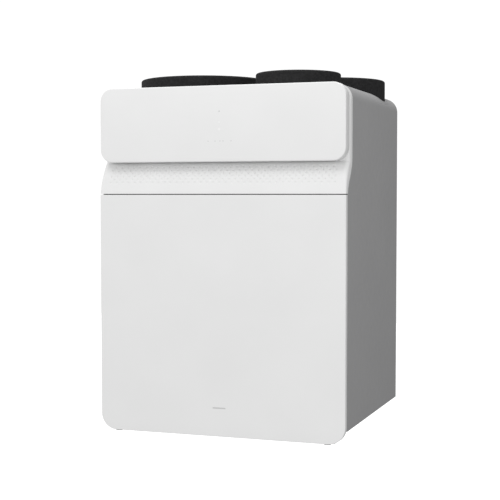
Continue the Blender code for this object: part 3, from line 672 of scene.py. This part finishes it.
def make_tray(name, outline_at, depth, edge, wall, material, body, nodes):
    """A shallow shell with a rolled front edge, open behind."""
    levels = [(wall, wall + 0.001), (wall + 0.001, wall), (depth - 0.0002, wall)]
    levels += [(depth, 0.0004), (depth - 0.0006, 0.0)]
    for k in range(EDGE_ROLL_STEPS + 1):
        a = math.radians(90 * k / EDGE_ROLL_STEPS)
        levels.append((edge * (1 - math.sin(a)), edge * (1 - math.cos(a))))
    rings = [[place(x, d, h) for x, h in outline_at(inset)] for d, inset in levels]
    tray = rings_mesh(name, rings)
    return dress(tray, material, body=body, nodes=nodes, angle=34)


def make_fascia():
    """White plate that stands proud of the front cover."""
    def outline_at(inset):
        half = FASCIA_HALF - inset
        radius = FASCIA_CORNER_R - inset
        return rounded(-half, half, FASCIA_BOTTOM + inset, TOP - inset, radius, radius)

    make_tray("fascia_shell", outline_at, FASCIA_DEPTH, FASCIA_EDGE, FASCIA_WALL,
              "white_moulding", "unit", ["fascia_tray"])


def make_door():
    """White sheet tray with two rounded lower corners, hinge slots and hinge ears."""
    def outline_at(inset):
        half = HALF - inset
        low_r = DOOR_CORNER_R - inset
        return rounded(-half, half, inset, DOOR_TOP - inset, low_r, DOOR_SQUARE_R, 20)

    door = make_tray("door_shell", outline_at, DOOR_DEPTH, DOOR_EDGE, DOOR_WALL,
                     "white_enamel", "door", ["door_panel"])
    for side, word in ((-1, "left"), (1, "right")):
        middle = side * HINGE_X
        left, right = middle - HINGE_SLOT_HALF, middle + HINGE_SLOT_HALF
        cut(door, block("cutter", left, right, 0.0020, 0.0300, -0.0100, 0.0140))
        for x in EAR_XS:
            left, right = side * x - EAR_HALF, side * x + EAR_HALF
            name = "door_ear_%s_%d" % (word, round(x * 10000))
            ear = block(name, left, right, 0.0018, 0.0135, 0.0012, 0.0085)
            soften(ear, 0.0006)
            dress(ear, "white_enamel", body="door")
    smooth(door, 34)


# ---------------------------------------------------------------- touch marks
MARK_OUT = 0.00005
MARK_IN = 0.0002
UP_H = 0.7480
MARK_X = 0.0010
DOT_H = 0.6800
DOT_XS = (-0.0260, -0.0090, 0.0030, 0.0105, 0.0300)
DOT_R = 0.0011
BAR_HALF = 0.0160
BAR_LOW = 0.0650
BAR_HIGH = 0.0682
BAR_R = 0.0015


def disc_outline(x, h, radius, steps=28):
    return arc(x, h, radius, 0, 360, steps)[:-1]


def make_mark(name, outline, material, body="unit"):
    """A printed mark: a skin a few hundredths of a millimetre thick on a front face."""
    mark = rings_mesh(name, [[place(x, d, h) for x, h in outline] for d in (-MARK_OUT, MARK_IN)])
    dress(mark, material, body=body)


def make_marks():
    """Faint touch marks on the fascia and a short plain bar on the door."""
    foot, tip = UP_H - 0.0013, UP_H + 0.0020
    triangle = [(MARK_X - 0.0022, foot), (MARK_X + 0.0022, foot), (MARK_X, tip)]
    make_mark("touch_mark_up", triangle, "mark_grey")
    make_mark("touch_mark_level_high", disc_outline(MARK_X, 0.7230, 0.0020), "mark_light")
    make_mark("touch_mark_level_low", disc_outline(MARK_X, 0.7070, 0.0030), "mark_light")
    for k, x in enumerate(DOT_XS):
        make_mark("touch_mark_dot_%d" % (k + 1), disc_outline(x, DOT_H, DOT_R, 20), "mark_grey")
    bar = rounded(-BAR_HALF, BAR_HALF, BAR_LOW, BAR_HIGH, BAR_R, BAR_R, 6)
    make_mark("door_mark_bar", bar, "mark_grey", body="door")


make_casing()
make_front_cover()
make_fascia()
make_door()
make_marks()


# ---------------------------------------------------------------- collars
def make_collar(name, low, high, groove, up=True):
    """A foam ring with rounded rims and an inner groove for its lip seal."""
    x, d, radius = PORTS[name]
    rim, inner_rim = COLLAR_RIM, COLLAR_INNER_RIM
    corner = arc(radius - rim, high - rim, rim, 0, 90, 8)
    inner = arc(DUCT_R + inner_rim, high - inner_rim, inner_rim, 90, 180, 4)
    if not up:
        middle = low + high
        corner = [(r, middle - h) for r, h in corner]
        inner = [(r, middle - h) for r, h in inner]
    ceiling = groove + GROOVE_HEIGHT
    channel = [(DUCT_R, ceiling), (GROOVE_R, ceiling), (GROOVE_R, groove), (DUCT_R, groove)]
    if up:
        profile = [(DUCT_R, low), (radius, low)] + corner + inner + channel
    else:
        profile = [(DUCT_R, high), (radius, high)] + corner + inner + channel[::-1]
    ring = lathe("collar_ring_" + name, x, d, profile, 144)
    return dress(ring, "black_foam", nodes=["collar_" + name], angle=38)


for port_name in ("extract", "outdoor", "exhaust"):
    make_collar(port_name, COLLAR_BASE, COLLAR_TOP, GROOVE_LOW)
make_collar("supply", SUPPLY_LOW, SUPPLY_HIGH, SUPPLY_GROOVE_LOW, up=False)


# ---------------------------------------------------------------- camera, light, stage
CAMERA_AT = (0.97518, -2.55126, 0.55746)
CAMERA_YAW = 19.4208
CAMERA_PITCH = 2.6447
LENS = 85.97
SENSOR = 36.0
BACKDROP = 1.05
FLOOR_HALF = 12.0
FLOOR_DROP = 1.1


def make_camera():
    """A long lens from the front right, a little above the middle, looking slightly down."""
    data = bpy.data.cameras.new("camera")
    data.sensor_width = SENSOR
    data.lens = LENS
    data.clip_end = 50.0
    camera = bpy.data.objects.new("camera", data)
    bpy.context.scene.collection.objects.link(camera)
    camera.location = place(*CAMERA_AT)
    yaw, pitch = math.radians(CAMERA_YAW), math.radians(CAMERA_PITCH)
    camera.rotation_euler = (math.pi / 2 - pitch, 0.0, yaw)
    bpy.context.scene.camera = camera


def area_light(name, location, target, size, power):
    """A square soft light turned toward a point."""
    data = bpy.data.lights.new(name, "AREA")
    data.shape = "SQUARE"
    data.size = size
    data.energy = power
    light = bpy.data.objects.new(name, data)
    bpy.context.scene.collection.objects.link(light)
    light.location = location
    toward = Vector(target) - Vector(location)
    light.rotation_euler = toward.to_track_quat("-Z", "Y").to_euler()


def make_world(level, toward):
    """A plain white backdrop, and soft light that is brightest along `toward`."""
    world = bpy.data.worlds.new("studio")
    bpy.context.scene.world = world
    world.use_nodes = True
    tree = world.node_tree
    tree.nodes.clear()
    coords = tree.nodes.new("ShaderNodeTexCoord")
    along = tree.nodes.new("ShaderNodeVectorMath")
    along.operation = "DOT_PRODUCT"
    along.inputs[1].default_value = toward
    total = tree.nodes.new("ShaderNodeMath")
    total.operation = "ADD"
    total.inputs[1].default_value = level
    tree.links.new(coords.outputs["Generated"], along.inputs[0])
    tree.links.new(along.outputs["Value"], total.inputs[0])
    path = tree.nodes.new("ShaderNodeLightPath")
    soft = tree.nodes.new("ShaderNodeBackground")
    soft.inputs["Color"].default_value = (1, 1, 1, 1)
    tree.links.new(total.outputs["Value"], soft.inputs["Strength"])
    seen = tree.nodes.new("ShaderNodeBackground")
    seen.inputs["Color"].default_value = (1, 1, 1, 1)
    seen.inputs["Strength"].default_value = BACKDROP
    mix = tree.nodes.new("ShaderNodeMixShader")
    out = tree.nodes.new("ShaderNodeOutputWorld")
    tree.links.new(path.outputs["Is Camera Ray"], mix.inputs[0])
    tree.links.new(soft.outputs[0], mix.inputs[1])
    tree.links.new(seen.outputs[0], mix.inputs[2])
    tree.links.new(mix.outputs[0], out.inputs["Surface"])


def make_floor():
    """A pale floor well below the hung unit, lit to the same white as the backdrop."""
    size, low = FLOOR_HALF, BRACKET_HEIGHT + FLOOR_DROP
    points = [(-size, -size, -low), (size, -size, -low), (size, size, -low), (-size, size, -low)]
    floor = new_object("floor", points, [(0, 1, 2, 3)])
    n = Nodes("pale_floor")
    pale = [(0.3, (0.90, 0.90, 0.90)), (0.7, (0.93, 0.93, 0.93))]
    n.drive("Base Color", n.ramp(n.noise(3.0), pale))
    n.set(Roughness=0.9, Emission_Color=(1, 1, 1, 1), Emission_Strength=0.75)
    floor.data.materials.append(n.material)
    for ray in ("diffuse", "glossy", "transmission", "volume_scatter", "shadow"):
        setattr(floor, "visible_" + ray, False)


make_camera()
make_world(0.622, (-0.205, -0.46, 0.0))
make_floor()
area_light("key", (-0.8, -1.5, 2.9), (0, -0.5, -0.1), 2.2, 44.0)
area_light("fill", (2.0, -1.0, 0.1), (0.3, -0.3, -0.3), 0.8, 8.0)
area_light("overhead", (0.25, -0.2, 2.2), (0, -0.2, -0.3), 1.2, 26.0)
scene = bpy.context.scene
scene.view_settings.view_transform = "Standard"
scene.view_settings.look = "None"
